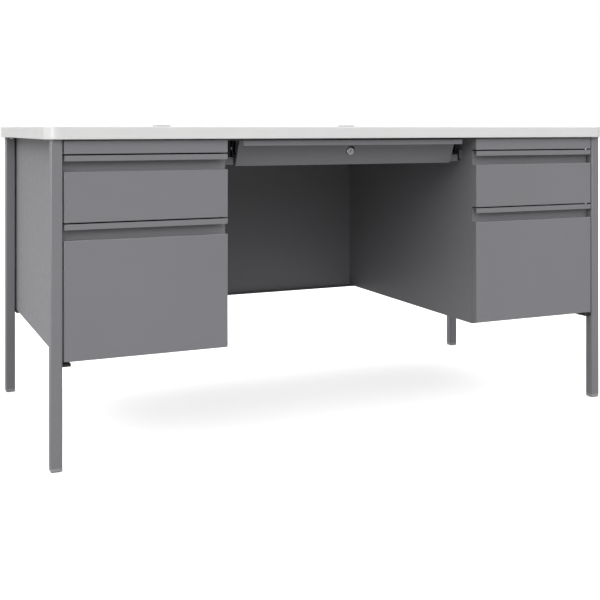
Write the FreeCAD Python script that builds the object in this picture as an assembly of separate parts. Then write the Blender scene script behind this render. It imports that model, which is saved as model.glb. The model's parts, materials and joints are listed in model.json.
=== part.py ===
import FreeCAD, Part
import math
import os

os.makedirs("parts", exist_ok=True)

# Double-pedestal teacher desk.  Millimetres, +Z up, front towards -Y, X to the right of someone
# sitting at the desk.  The origin is on the floor, under the middle of the worktop.

# ---------------------------------------------------------------- driving sizes
WIDTH = 1524.0
DEPTH = 762.0
HEIGHT = 749.3                # floor to writing surface

# worktop
TOP_THICK = 28.6
SKIN = 0.8                    # laminate above and balancing sheet below the core
BAND = 3.0                    # edge band
BAND_ROUND = 2.0              # rounding of the band's long edges
CORNER_R = 36.0               # corner radius in plan

# cable grommets
GROMMET_TO_CASE = 37.0         # grommet centre to the pedestal side, over the kneehole
GROMMET_FROM_BACK = 70.0
GROMMET_HOLE = 50.8
GROMMET_FIT = 0.1             # radial play of sleeve in worktop and of cap in sleeve
GROMMET_RIM = 60.0
GROMMET_RIM_H = 2.0
GROMMET_CAP = 51.0
GROMMET_CAP_H = 2.5
GROMMET_WALL = 1.6
GROMMET_SLEEVE_LEN = 24.0
GROMMET_PLUG_LEN = 6.0
GROMMET_SLOT_W = 18.0
GROMMET_SLOT_D = 11.0

# legs
LEG = 25.4
LEG_WALL = 1.6
LEG_ROUND = 3.0
LEG_INSET_X = 12.7            # worktop edge to leg face
LEG_INSET_Y = 11.1
LEG_PLATE = 3.0
LEG_PLATE_EAR = 44.0
LEG_PLATE_HOLES = (13.0, 34.0)   # from the tube, along the ear
GLIDE_H = 9.0
GLIDE_INSET = 0.2             # glide head inside the tube's faces
GLIDE_ROUND = 3.5
GLIDE_PLUG_LEN = 14.0
GLIDE_PLUG_PLAY = 0.2

# pedestals
SHEET = 1.2                   # case and front sheet
CASE_W = 376.4
CASE_TO_LEG = 3.5
CASE_BOTTOM = 232.0
TOP_REVEAL = 2.0              # dark line between worktop and pedestal
BACK_INSET = 21.0             # worktop's rear edge to the outside of the case back
HEM = 12.0
FRONT_DEPTH = 20.0            # front pan, face to back
FRONT_TO_CASE = 1.5
RAIL_H = 29.8                 # header rail over the drawers
BOTTOM_RAIL_D = 30.0
BOTTOM_RAIL_H = 11.0
ANGLE = 22.0                  # legs of the top mounting angles
ANGLE_T = 1.5
ANGLE_HOLE = 13.0             # screw holes from the case side
ANGLE_END = 1.0               # angles, slides and rails clear of what they end at

# drawer fronts
FACE_GAP = 3.2
LIP_H = 12.4
RECESS_H = 23.4
BOX_FACE_H = 110.9
FILE_BELOW = 5.2              # file front stops this far above the case bottom
LIP_HEM = 5.0
LIP_END_INSET = 0.5
FACE_ROUND = 1.2
PAN_FLANGE = 11.0

# drawer bodies
TRAY_SHEET = 1.0
BEHIND_TRAY = 108.0           # tray back to the case back
TRAY_ABOVE_FACE = 10.0        # tray bottom over the front's lower edge
BOX_TRAY_BELOW_TOP = 14.0     # tray rim under the top of its pull
FILE_TRAY_BELOW_TOP = 30.0
HANGER_SPACING = 318.0        # centres of the hanging-file rails
HANGER_T = 2.5
HANGER_H = 14.0

# telescoping slides
SLIDE_T = 12.7
SLIDE_SHEET = 1.2
SLIDE_H = 40.0
SLIDE_PLAY = 0.4
SLIDE_LIP = 3.0
SLIDE_CASE_D = 10.0           # depth of the case member
CENTER_CASE_D = 9.0           # depth of the centre drawer's case member
SLIDE_SHORTER = 50.0          # slide length is the tray length less this
BOX_SLIDE_UP = 52.0           # slide centre line over the tray bottom
FILE_SLIDE_UP = 150.0

# modesty panel
PANEL_SHEET = 1.2
PANEL_TO_LEG = 1.0
PANEL_RETURN = 8.7
PANEL_FOOT = 35.0             # flange turned forward under the kneehole
PANEL_FOOT_PLAY = 0.5         # its ends to the pedestal sides
PANEL_HOLES_X = (56.0, 320.0) # from the pedestal's inner side
SHARES = (0.12, 0.5, 0.88)    # three screws spread along a length

# centre drawer
CENTER_SIDE_GAP = 42.0        # pedestal side to drawer face end
CENTER_DROP = 4.2             # worktop underside to the top of the drawer front
CENTER_FACE_H = 62.0
CENTER_SLOPE = 0.458          # backward run of the face for each unit down
CENTER_LIP_Y = 15.0           # worktop front edge to the lip's face
CENTER_LIP_REACH = 31.5       # lip face to the top edge of the sloping face
CENTER_LIP_H = 12.1
CENTER_LIP_SPREAD = 3.0       # lip ends run out this far towards the top
CENTER_RETURN = 11.0
CENTER_HEM = 10.0
CENTER_TRAY_LEN = 390.0
CENTER_TRAY_GAP = 0.3         # tray behind the face's lower edge
CENTER_SIDES_BELOW = 4.8      # drawer front top to the tray side rim
CENTER_WALLS_BELOW = 14.0     # drawer front top to the lower front and back walls
PENCIL_H = 20.0
PENCIL_D = 95.0
PENCIL_WALL = 2.0
PENCIL_ROUND = 8.0
PENCIL_END_GAP = 12.0
PENCIL_BEHIND_CAM = 22.0
CENTER_SLIDE_H = 35.0
CENTER_SLIDE_LEN = 400.0
CENTER_SLIDE_TOP = 5.7        # worktop underside to the top of the slide
CENTER_SLIDE_AHEAD = 14.0     # case slide stands this far ahead of the drawer slide
BRACKET_SHEET = 1.2
BRACKET_BACK = 4.0            # bracket front behind the drawer slide's front
BRACKET_UNDER_SLIDE = 4.1     # shelf under the centre slides
BRACKET_LEG_H = 31.0
BRACKET_CLEAR = 3.0           # bracket over the drawer front's lower edge
BRACKET_HOLE_DOWN = 8.0       # screw holes below the leg's top
BRACKET_IN = 2.0              # shelf's inner edge outside the drawer face end
BRACKET_END_GAP = 12.0        # end plate to the pedestal side
BRACKET_TAB = 6.0
BRACKET_TAB_UP = 9.0
RIVET_R = 4.4
RIVET_H = 2.0
RIVET_FRONT = 9.0             # front rivet from the case slide's end
RIVET_SHARES = (0.0, 0.45, 0.9)
HEAD_CHAMFER = 0.8

# lock
LOCK_UP = 33.5                # lock axis over the lower edge of the sloping face
LOCK_R = 9.5
LOCK_SINK = 2.2               # top of the lock face behind the sloping sheet
LOCK_HOLE_PLAY = 0.3
FACE_HOLE_PLAY = 2.0          # hole in the sloping face, wider than the lock
FACE_HOLE_RISE = 1.7          # and centred this far above it
PLUG_R = 6.0
PLUG_PLAY = 0.05
PLUG_SINK = 0.4
LOCK_COLLAR_R = 12.0
LOCK_COLLAR_T = 2.0
LOCK_NUT_AF = 24.0
LOCK_NUT_T = 4.0
LOCK_BEHIND_NUT = 10.0
LOCK_TAIL = 6.5
KEY_SLOT_L = 8.0
KEY_SLOT_W = 1.8
KEY_SLOT_DEEP = 9.0
KEY_SLOT_LEAN = 30.0
CAM_T = 3.0
CAM_PLAY = 0.5
CAM_SCREW_LEN = 7.0
CAM_W = 11.0
CAM_UNDER_STRIKE = 7.2        # tip of the turned-up cam below the strike's wing
STRIKE_T = 1.5
STRIKE_W = 40.0
STRIKE_WING = 24.0
STRIKE_HOLES = 24.0
STRIKE_OVER_LOCK = 3.2        # strike's lower edge over the lock barrel
STRIKE_AHEAD = 3.0            # strike face ahead of the cam

# leg brackets and screws
FOOT_T = 6.0
FOOT_LEN = 45.0
FOOT_REACH = 19.0
FOOT_SETBACK = 4.0
FOOT_HOLE_X = 12.0            # screw hole from the leg's inner face
FOOT_HOLE_Y = 37.0            # screw hole from the leg's outer face
SCREW_R = 2.0
SCREW_HEAD_R = 4.0
SCREW_HEAD_H = 2.6
SCREW_IN_CORE = 16.0
FRAME_SCREW_LEN = 9.0

# ---------------------------------------------------------------- places that follow
TOP_UNDER = HEIGHT - TOP_THICK
LEG_CX = WIDTH / 2 - LEG_INSET_X - LEG / 2
LEG_CY = DEPTH / 2 - LEG_INSET_Y - LEG / 2
LEG_IN_X = LEG_CX - LEG / 2
CASE_OUT = LEG_IN_X - CASE_TO_LEG
CASE_IN = CASE_OUT - CASE_W
CASE_TOP = TOP_UNDER - TOP_REVEAL
FRONT_Y = -(LEG_CY + LEG / 2)
FRONT_BACK_Y = FRONT_Y + FRONT_DEPTH
CASE_FRONT_Y = FRONT_BACK_Y + FRONT_TO_CASE
CASE_BACK_Y = DEPTH / 2 - BACK_INSET
TRAY_BACK_Y = CASE_BACK_Y - BEHIND_TRAY
TRAY_LEN = TRAY_BACK_Y - FRONT_BACK_Y
SLIDE_LEN = TRAY_LEN - SLIDE_SHORTER
RAIL_BOTTOM = CASE_TOP - RAIL_H
BOX_TOP = RAIL_BOTTOM - FACE_GAP
BOX_FACE_TOP = BOX_TOP - LIP_H - RECESS_H
BOX_BOTTOM = BOX_FACE_TOP - BOX_FACE_H
FILE_TOP = BOX_BOTTOM - FACE_GAP
FILE_FACE_TOP = FILE_TOP - LIP_H - RECESS_H
FILE_BOTTOM = CASE_BOTTOM + FILE_BELOW

CENTER_HALF = CASE_IN - CENTER_SIDE_GAP
CENTER_TOP = TOP_UNDER - CENTER_DROP
CENTER_BOTTOM = CENTER_TOP - CENTER_FACE_H
LIP_Y = -(DEPTH / 2 - CENTER_LIP_Y)
FACE_TOP_Y = LIP_Y + CENTER_LIP_REACH
FACE_BOTTOM_Y = FACE_TOP_Y + CENTER_SLOPE * CENTER_FACE_H
SLOPE_SHEET = SHEET * math.hypot(1.0, CENTER_SLOPE)   # face sheet measured along Y
CENTER_TRAY_Y = FACE_BOTTOM_Y + SLOPE_SHEET + CENTER_TRAY_GAP
CENTER_TRAY_HALF = CENTER_HALF - SHEET
CENTER_TRAY_Z = CENTER_BOTTOM + SHEET
CENTER_SLIDE_Y = CENTER_TRAY_Y + TRAY_SHEET
CENTER_SLIDE_Z = TOP_UNDER - CENTER_SLIDE_TOP - CENTER_SLIDE_H / 2
LOCK_Z = CENTER_BOTTOM + LOCK_UP
FACE_AT_LOCK_TOP = FACE_BOTTOM_Y - CENTER_SLOPE * (LOCK_UP + LOCK_R)
LOCK_FACE_Y = FACE_AT_LOCK_TOP + LOCK_SINK
NUT_Y = CENTER_TRAY_Y + TRAY_SHEET
BARREL_BACK_Y = NUT_Y + LOCK_NUT_T + LOCK_BEHIND_NUT
CAM_Y = BARREL_BACK_Y + CAM_PLAY
STRIKE_Y = CAM_Y - STRIKE_AHEAD - STRIKE_T
STRIKE_BOTTOM = LOCK_Z + LOCK_R + STRIKE_OVER_LOCK
CAM_REACH = TOP_UNDER - STRIKE_T - CAM_UNDER_STRIKE - LOCK_Z


# ---------------------------------------------------------------- shape helpers
def V(x, y, z):
    return FreeCAD.Vector(x, y, z)


def block(x0, x1, y0, y1, z0, z1):
    return Part.makeBox(x1 - x0, y1 - y0, z1 - z0, V(x0, y0, z0))


def rod(radius, length, start, direction):
    return Part.makeCylinder(radius, length, start, direction)


def prism(corners, sweep):
    """Solid swept from a flat closed outline of straight edges."""
    return Part.Face(Part.makePolygon(corners + [corners[0]])).extrude(sweep)


def along_x(outline, x0, x1):
    return prism([V(x0, y, z) for y, z in outline], V(x1 - x0, 0, 0))


def along_y(outline, y0, y1):
    return prism([V(x, y0, z) for x, z in outline], V(0, y1 - y0, 0))


def folded(path, sheet):
    """Outline of a folded sheet: the path is one face, the metal lies to its right."""
    inner = []
    last = len(path) - 1
    for i, (px, pz) in enumerate(path):
        before = path[i - 1] if i else path[0]
        after = path[i + 1] if i < last else path[last]
        normals = []
        for a, b in ((before, path[i]), (path[i], after)):
            length = math.hypot(b[0] - a[0], b[1] - a[1])
            if length:
                normals.append(((b[1] - a[1]) / length, -(b[0] - a[0]) / length))
        nx = sum(n[0] for n in normals) / len(normals)
        nz = sum(n[1] for n in normals) / len(normals)
        scale = sheet / (nx * nx + nz * nz)
        inner.append((px + nx * scale, pz + nz * scale))
    return path + inner[::-1]


def rounded_slab(width, depth, radius, z0, z1, cx=0.0, cy=0.0):
    slab = block(cx - width / 2, cx + width / 2, cy - depth / 2, cy + depth / 2, z0, z1)
    upright = [e for e in slab.Edges if abs(e.Vertexes[0].Z - e.Vertexes[1].Z) > 0.5 * (z1 - z0)]
    return slab.makeFillet(radius, upright)


def edges_at(shape, axis, value):
    """Edges that lie wholly in one plane across an axis."""
    low = {"y": "YMin", "z": "ZMin"}[axis]
    high = {"y": "YMax", "z": "ZMax"}[axis]
    found = []
    for edge in shape.Edges:
        bounds = edge.BoundBox
        if abs(getattr(bounds, low) - value) < 1e-4 and abs(getattr(bounds, high) - value) < 1e-4:
            found.append(edge)
    return found


def mirrored(shape):
    return shape.mirror(V(0, 0, 0), V(1, 0, 0))


def front_to_back(shape):
    return shape.mirror(V(0, 0, 0), V(0, 1, 0))


def four_corners(shape):
    pair = [shape, front_to_back(shape)]
    return pair + [mirrored(s) for s in pair]


def group(shapes):
    return Part.makeCompound(shapes)


def save(name, shape):
    shape.exportStep("parts/" + name + ".step")


def save_pair(name, shape):
    """The same piece on the right and, mirrored, on the left."""
    save("right_" + name, shape)
    save("left_" + name, mirrored(shape))


def screw(tip, length, toward_head):
    """Pan-head screw: shank from the tip, head beyond it."""
    shank = rod(SCREW_R, length, tip, toward_head)
    head = rod(SCREW_HEAD_R, SCREW_HEAD_H, tip + toward_head * length, toward_head)
    head = head.makeChamfer(HEAD_CHAMFER, edges_far(head, tip))
    return shank.fuse(head).removeSplitter()


def edges_far(head, tip):
    rims = [e for e in head.Edges if e.isClosed()]
    rims.sort(key=lambda e: e.CenterOfMass.distanceToPoint(tip))
    return [rims[-1]]


# ---------------------------------------------------------------- legs
def leg():
    """Right rear leg; the tube runs from the glide's head to the top plate."""
    z0 = GLIDE_H
    z1 = TOP_UNDER - LEG_PLATE
    bore = LEG - 2 * LEG_WALL
    tube = rounded_slab(LEG, LEG, LEG_ROUND, z0, z1, LEG_CX, LEG_CY)
    return tube.cut(rounded_slab(bore, bore, LEG_ROUND - LEG_WALL, z0 - 1, z1 + 1, LEG_CX, LEG_CY))


def glide():
    """Moulded end plug: a square head with a rounded foot, and a plug inside the tube."""
    width = LEG - 2 * GLIDE_INSET
    head = rounded_slab(width, width, LEG_ROUND, 0, GLIDE_H, LEG_CX, LEG_CY)
    head = head.makeFillet(GLIDE_ROUND, edges_at(head, "z", 0.0))
    side = LEG - 2 * LEG_WALL - 2 * GLIDE_PLUG_PLAY
    plug = rounded_slab(side, side, LEG_ROUND - LEG_WALL, GLIDE_H, GLIDE_H + GLIDE_PLUG_LEN, LEG_CX, LEG_CY)
    return head.fuse(plug).removeSplitter()


def leg_plate_screw_places():
    return [(LEG_CX, LEG_CY - LEG / 2 - reach) for reach in LEG_PLATE_HOLES]


def leg_plate():
    """Plate on the tube's top, with an ear running inward along the side."""
    z0 = TOP_UNDER - LEG_PLATE
    y0 = LEG_CY - LEG / 2 - LEG_PLATE_EAR
    plate = rounded_slab(LEG, LEG + LEG_PLATE_EAR, LEG_ROUND, z0, TOP_UNDER,
                         LEG_CX, (y0 + LEG_CY + LEG / 2) / 2)
    for x, y in leg_plate_screw_places():
        plate = plate.cut(rod(SCREW_R, LEG_PLATE, V(x, y, z0), V(0, 0, 1)))
    return plate


def foot_screw_place():
    return LEG_IN_X - FOOT_HOLE_X, LEG_CY + LEG / 2 - FOOT_HOLE_Y


def leg_bracket():
    """Black foot under the pedestal's rear corner, welded to the leg's inner face."""
    y1 = LEG_CY + LEG / 2 - FOOT_SETBACK
    foot = block(LEG_IN_X - FOOT_REACH, LEG_IN_X, y1 - FOOT_LEN, y1, CASE_BOTTOM - FOOT_T, CASE_BOTTOM)
    x, y = foot_screw_place()
    return foot.cut(rod(SCREW_R, FOOT_T, V(x, y, CASE_BOTTOM - FOOT_T), V(0, 0, 1)))


# ---------------------------------------------------------------- pedestal case (right side)
WALL_OUT = CASE_OUT - SHEET
WALL_IN = CASE_IN + SHEET
WALL_BACK = CASE_BACK_Y - SHEET


def panel_screw_places():
    """Screws through the modesty panel into the case back: x and z."""
    columns = [CASE_IN + reach for reach in PANEL_HOLES_X]
    rows = [CASE_BOTTOM + (CASE_TOP - CASE_BOTTOM) * share for share in SHARES]
    return [(x, z) for x in columns for z in rows]


def bracket_screw_places():
    """Screws through the centre bracket into the pedestal side: y and z."""
    z = CENTER_BOTTOM + BRACKET_CLEAR + BRACKET_LEG_H - BRACKET_HOLE_DOWN
    y0 = CENTER_SLIDE_Y + BRACKET_BACK
    return [(y0 + CENTER_SLIDE_LEN * share, z) for share in SHARES]


def case_shell():
    """One sheet wrapped round both sides and the back, hemmed along its front edges."""
    shell = block(CASE_IN, CASE_OUT, CASE_FRONT_Y, CASE_BACK_Y, CASE_BOTTOM, CASE_TOP)
    shell = shell.cut(block(WALL_IN, WALL_OUT, CASE_FRONT_Y - 1, WALL_BACK, CASE_BOTTOM - 1, CASE_TOP + 1))
    hem_z = CASE_BOTTOM + BOTTOM_RAIL_H
    for x0 in (WALL_IN, WALL_OUT - SHEET):
        shell = shell.fuse(block(x0, x0 + SHEET, CASE_FRONT_Y, CASE_FRONT_Y + HEM, hem_z, CASE_TOP))
    for x, z in panel_screw_places():
        shell = shell.cut(rod(SCREW_R, SHEET + 2, V(x, WALL_BACK - 1, z), V(0, 1, 0)))
    for y, z in bracket_screw_places():
        shell = shell.cut(rod(SCREW_R, SHEET + 2, V(CASE_IN - 1, y, z), V(1, 0, 0)))
    return shell.removeSplitter()


def pan(z0, z1, depth):
    """Front pan: face, four sides turned back, and flanges turned in behind."""
    back = FRONT_Y + depth
    shape = block(CASE_IN, CASE_OUT, FRONT_Y, back, z0, z1)
    shape = shape.makeFillet(FACE_ROUND, edges_at(shape, "y", FRONT_Y))
    shape = shape.cut(block(WALL_IN, WALL_OUT, FRONT_Y + SHEET, back - SHEET, z0 + SHEET, z1 - SHEET))
    edge = SHEET + min(PAN_FLANGE, (z1 - z0) / 4)
    return shape.cut(block(CASE_IN + SHEET + PAN_FLANGE, CASE_OUT - SHEET - PAN_FLANGE,
                           back - 2 * SHEET, back + 1, z0 + edge, z1 - edge))


def bottom_rails():
    """Shallow channels across the case bottom, front and back, open upwards."""
    rails = []
    for y0 in (CASE_FRONT_Y, WALL_BACK - BOTTOM_RAIL_D):
        y1 = y0 + BOTTOM_RAIL_D
        path = [(y1, CASE_BOTTOM + BOTTOM_RAIL_H), (y1, CASE_BOTTOM), (y0, CASE_BOTTOM),
                (y0, CASE_BOTTOM + BOTTOM_RAIL_H)]
        rails.append(along_x(folded(path, SHEET), WALL_IN, WALL_OUT))
    x, y = foot_screw_place()
    hole = rod(SCREW_R, 3 * SHEET, V(x, y, CASE_BOTTOM - SHEET), V(0, 0, 1))
    front_hole = rod(SCREW_R, 3 * SHEET, V(x, -y, CASE_BOTTOM - SHEET), V(0, 0, 1))
    return [rails[0].cut(front_hole), rails[1].cut(hole)]


def angle_screw_places():
    front = CASE_FRONT_Y + HEM
    ys = [front + (WALL_BACK - front) * share for share in SHARES]
    xs = (WALL_IN + ANGLE_HOLE, WALL_OUT - ANGLE_HOLE)
    return [(x, y) for x in xs for y in ys]


def top_angles():
    """Angles welded inside the case sides, their top legs screwed to the worktop."""
    y0 = CASE_FRONT_Y + HEM + ANGLE_END
    y1 = WALL_BACK - ANGLE_END
    angles = []
    for wall, inward in ((WALL_IN, 1), (WALL_OUT, -1)):
        tip = wall + inward * ANGLE
        outline = [(wall, TOP_UNDER), (tip, TOP_UNDER), (tip, TOP_UNDER - ANGLE_T),
                   (wall + inward * ANGLE_T, TOP_UNDER - ANGLE_T),
                   (wall + inward * ANGLE_T, TOP_UNDER - ANGLE), (wall, TOP_UNDER - ANGLE)]
        angles.append(along_y(outline, y0, y1))
    holes = [rod(SCREW_R, ANGLE_T, V(x, y, TOP_UNDER - ANGLE_T), V(0, 0, 1)) for x, y in angle_screw_places()]
    return [a.cut(group(holes)) for a in angles]


# ---------------------------------------------------------------- slides
def channel_outline(height, x0, x1):
    """Lipped channel: web at x0, open towards x1."""
    t = SLIDE_SHEET
    h = height / 2
    half = [(x0, h), (x1, h), (x1, h - t - SLIDE_LIP), (x1 - t, h - t - SLIDE_LIP),
            (x1 - t, h - t), (x0 + t, h - t)]
    return half + [(x, -z) for x, z in half[::-1]]


def hat_outline(brim, body, x0, x1):
    """Hat section: brims captured in a lipped channel at x0, web outside it at x1."""
    t = SLIDE_SHEET
    half = [(x0, brim / 2), (x0 + t, brim / 2), (x0 + t, body / 2), (x1, body / 2)]
    inside = [(x1 - t, body / 2 - t), (x0, body / 2 - t)]
    return half + [(x, -z) for x, z in half[::-1]] + [(x, -z) for x, z in inside[::-1]] + inside


def nest(height):
    """Height of the next member inside a lipped channel, and of its mouth."""
    inside = height - 2 * SLIDE_SHEET - 2 * SLIDE_PLAY
    mouth = height - 2 * SLIDE_SHEET - 2 * SLIDE_LIP - 2 * SLIDE_PLAY
    return inside, mouth


STEP_IN = SLIDE_SHEET + SLIDE_PLAY
SLIDE_MIDDLE_H = nest(SLIDE_H)[0]
CASE_MEMBER = channel_outline(SLIDE_H, 0, SLIDE_CASE_D)
MIDDLE_MEMBER = channel_outline(SLIDE_MIDDLE_H, STEP_IN, SLIDE_CASE_D - STEP_IN)
DRAWER_MEMBER = hat_outline(*nest(SLIDE_MIDDLE_H), 2 * STEP_IN, SLIDE_T)
CENTER_CASE_MEMBER = channel_outline(CENTER_SLIDE_H, 0, CENTER_CASE_D)
CENTER_DRAWER_MEMBER = hat_outline(*nest(CENTER_SLIDE_H), STEP_IN, SLIDE_T)


def slide_bar(outline, wall, inward, z, y0, y1):
    return along_y([(wall + inward * x, z + h) for x, h in outline], y0, y1)


def slide_pair(outline, z):
    """Members on the two sides of one drawer of the right pedestal."""
    y0 = CASE_FRONT_Y + HEM + ANGLE_END
    return [slide_bar(outline, wall, inward, z, y0, y0 + SLIDE_LEN)
            for wall, inward in ((WALL_IN, 1), (WALL_OUT, -1))]


# ---------------------------------------------------------------- pedestal drawers (right side)
def pull(face_top, top):
    """Full-width finger pull: a channel with a hanging lip, over the front pan."""
    path = [(FRONT_Y + LIP_HEM, top - LIP_H), (FRONT_Y, top - LIP_H), (FRONT_Y, top),
            (FRONT_BACK_Y, top), (FRONT_BACK_Y, face_top)]
    strip = along_x(folded(path, SHEET), CASE_IN, CASE_OUT)
    ahead = FRONT_BACK_Y - SHEET
    for x0 in (CASE_IN - 1, CASE_OUT - LIP_END_INSET):
        strip = strip.cut(block(x0, x0 + LIP_END_INSET + 1, FRONT_Y - 1, ahead, face_top, top + 1))
    return strip


def tray(x0, x1, y0, y1, z0, side_top, wall_top):
    """Drawer body welded from five sheets: bottom, two sides, front wall, back wall."""
    t = TRAY_SHEET
    floor = z0 + t
    sheets = [block(x0, x1, y0, y1, z0, floor)]
    sheets += [block(x, x + t, y0, y1, floor, side_top) for x in (x0, x1 - t)]
    sheets += [block(x0 + t, x1 - t, y, y + t, floor, wall_top) for y in (y0, y1 - t)]
    return sheets


TRAY_X0 = WALL_IN + SLIDE_T
TRAY_X1 = WALL_OUT - SLIDE_T


def hanger_rails(z1):
    """Flat bars along both sides that carry hanging folders."""
    middle = (TRAY_X0 + TRAY_X1) / 2
    y0 = FRONT_BACK_Y + TRAY_SHEET
    y1 = TRAY_BACK_Y - TRAY_SHEET
    bars = []
    for side in (-1, 1):
        x = middle + side * HANGER_SPACING / 2
        bars.append(block(x - HANGER_T / 2, x + HANGER_T / 2, y0, y1, z1 - HANGER_H, z1))
    return bars


def pedestal_drawer(name, bottom, face_top, top, rim, slide_up):
    tray_z = bottom + TRAY_ABOVE_FACE
    slide_z = tray_z + slide_up
    save_pair(name + "_front", pan(bottom, face_top, FRONT_DEPTH))
    save_pair(name + "_pull", pull(face_top, top))
    save_pair(name + "_tray", group(tray(TRAY_X0, TRAY_X1, FRONT_BACK_Y, TRAY_BACK_Y, tray_z, rim, rim)))
    save_pair(name + "_slide_inner", group(slide_pair(DRAWER_MEMBER, slide_z)))
    save_pair(name + "_slide_middle", group(slide_pair(MIDDLE_MEMBER, slide_z)))
    return slide_pair(CASE_MEMBER, slide_z)


# ---------------------------------------------------------------- worktop
def grommet_places():
    y = DEPTH / 2 - GROMMET_FROM_BACK
    x = CASE_IN - GROMMET_TO_CASE
    return [(-x, y), (x, y)]


def strike_screw_places():
    y = STRIKE_Y + (STRIKE_T + STRIKE_WING) / 2
    return [(-STRIKE_HOLES / 2, y), (STRIKE_HOLES / 2, y)]


def worktop_screw_places():
    corners = [(sx * x, sy * y) for x, y in leg_plate_screw_places() for sx in (-1, 1) for sy in (-1, 1)]
    angles = [(sx * x, y) for x, y in angle_screw_places() for sx in (-1, 1)]
    return corners, angles, strike_screw_places()


def top_slab(z0, z1):
    return rounded_slab(WIDTH - 2 * BAND, DEPTH - 2 * BAND, CORNER_R - BAND, z0, z1)


def grommet_holes():
    z0 = TOP_UNDER - 1
    return [rod(GROMMET_HOLE / 2, TOP_THICK + 2, V(x, y, z0), V(0, 0, 1)) for x, y in grommet_places()]


def screw_holes():
    places = sum(worktop_screw_places(), [])
    return [rod(SCREW_R, SCREW_IN_CORE, V(x, y, TOP_UNDER), V(0, 0, 1)) for x, y in places]


def edge_band():
    ring = rounded_slab(WIDTH, DEPTH, CORNER_R, TOP_UNDER, HEIGHT)
    ring = ring.makeFillet(BAND_ROUND, edges_at(ring, "z", TOP_UNDER) + edges_at(ring, "z", HEIGHT))
    return ring.cut(top_slab(TOP_UNDER - 1, HEIGHT + 1))


def grommet_slot(x, y, z0, z1):
    """Cable notch at the rear of the cap; it runs out past the plug into the sleeve."""
    back = y + GROMMET_HOLE / 2 - GROMMET_WALL
    return block(x - GROMMET_SLOT_W / 2, x + GROMMET_SLOT_W / 2, back - GROMMET_SLOT_D, back, z0, z1)


def grommet_sleeve(x, y):
    outer = GROMMET_HOLE / 2 - GROMMET_FIT
    z0 = HEIGHT - GROMMET_SLEEVE_LEN
    sleeve = rod(outer, GROMMET_SLEEVE_LEN, V(x, y, z0), V(0, 0, 1))
    rim = rod(GROMMET_RIM / 2, GROMMET_RIM_H, V(x, y, HEIGHT), V(0, 0, 1))
    rim = rim.makeChamfer(GROMMET_RIM_H / 2, edges_at(rim, "z", HEIGHT + GROMMET_RIM_H))
    bore = rod(outer - GROMMET_WALL, GROMMET_SLEEVE_LEN + GROMMET_RIM_H + 2, V(x, y, z0 - 1), V(0, 0, 1))
    return sleeve.fuse(rim).cut(bore).removeSplitter()


def grommet_cap(x, y):
    z0 = HEIGHT + GROMMET_RIM_H
    disc = rod(GROMMET_CAP / 2, GROMMET_CAP_H, V(x, y, z0), V(0, 0, 1))
    disc = disc.makeChamfer(GROMMET_CAP_H / 2, edges_at(disc, "z", z0 + GROMMET_CAP_H))
    plug_r = GROMMET_HOLE / 2 - GROMMET_WALL - 2 * GROMMET_FIT
    plug = rod(plug_r, GROMMET_PLUG_LEN, V(x, y, z0 - GROMMET_PLUG_LEN), V(0, 0, 1))
    cap = disc.fuse(plug).removeSplitter()
    return cap.cut(grommet_slot(x, y, z0 - GROMMET_PLUG_LEN - 1, z0 + GROMMET_CAP_H + 1))


# ---------------------------------------------------------------- modesty panel
def modesty_panel():
    """Sheet across the back, returns turned rearward, and a foot flange under the kneehole."""
    half = LEG_IN_X - PANEL_TO_LEG
    y0 = CASE_BACK_Y
    y1 = y0 + PANEL_SHEET
    back = y1 + PANEL_RETURN
    sheet = block(-half, half, y0, y1, CASE_BOTTOM, CASE_TOP)
    top = block(-half, half, y0, back, CASE_TOP - PANEL_SHEET, CASE_TOP)
    sides = [block(x, x + PANEL_SHEET, y0, back, CASE_BOTTOM, CASE_TOP) for x in (-half, half - PANEL_SHEET)]
    knee = CASE_IN - PANEL_FOOT_PLAY
    foot = block(-knee, knee, y0 - PANEL_FOOT, y1, CASE_BOTTOM, CASE_BOTTOM + PANEL_SHEET)
    panel = sheet.fuse([top, foot] + sides).removeSplitter()
    holes = [rod(SCREW_R, 3 * PANEL_SHEET, V(side * x, y0 - PANEL_SHEET, z), V(0, 1, 0))
             for x, z in panel_screw_places() for side in (-1, 1)]
    return panel.cut(group(holes))


# ---------------------------------------------------------------- centre drawer
def face_y(z):
    """Front surface of the sloping face at a height."""
    return FACE_BOTTOM_Y - CENTER_SLOPE * (z - CENTER_BOTTOM)


def face_back_y(z):
    """Back surface of the sloping face's sheet at a height."""
    return face_y(z) + SLOPE_SHEET


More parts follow.
